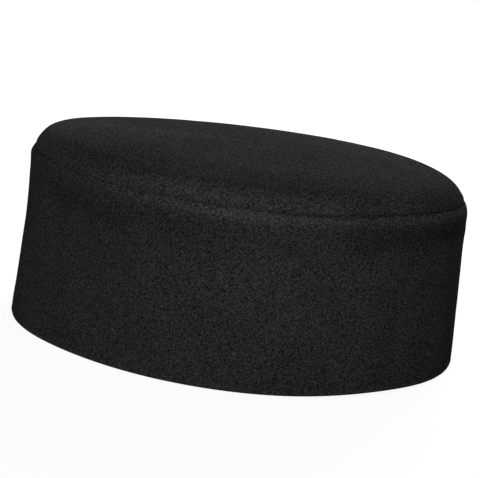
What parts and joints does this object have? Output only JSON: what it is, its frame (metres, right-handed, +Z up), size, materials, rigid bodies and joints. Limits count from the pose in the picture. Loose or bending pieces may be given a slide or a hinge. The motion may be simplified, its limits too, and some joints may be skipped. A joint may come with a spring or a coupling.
{
  "type": "kufi cap",
  "caption": "Brimless oval pillbox cap of thick black wool cloth, with an upright hemmed side and a slightly domed top with a rolled edge.",
  "frame": {"origin": "middle of the plane that the rim stands on", "axes": "+Z up through the top of the cap, -Y towards the front of the head, +Y towards the back, X across the head"},
  "size_m": [0.186, 0.198, 0.0835],
  "materials": {
    "band_wool": "black felted wool cloth, matt",
    "crown_wool": "black felted wool cloth, matt"
  },
  "bodies": {
    "root": {"side_band": "band_wool", "crown_top": "crown_wool"}
  },
  "joints": []
}
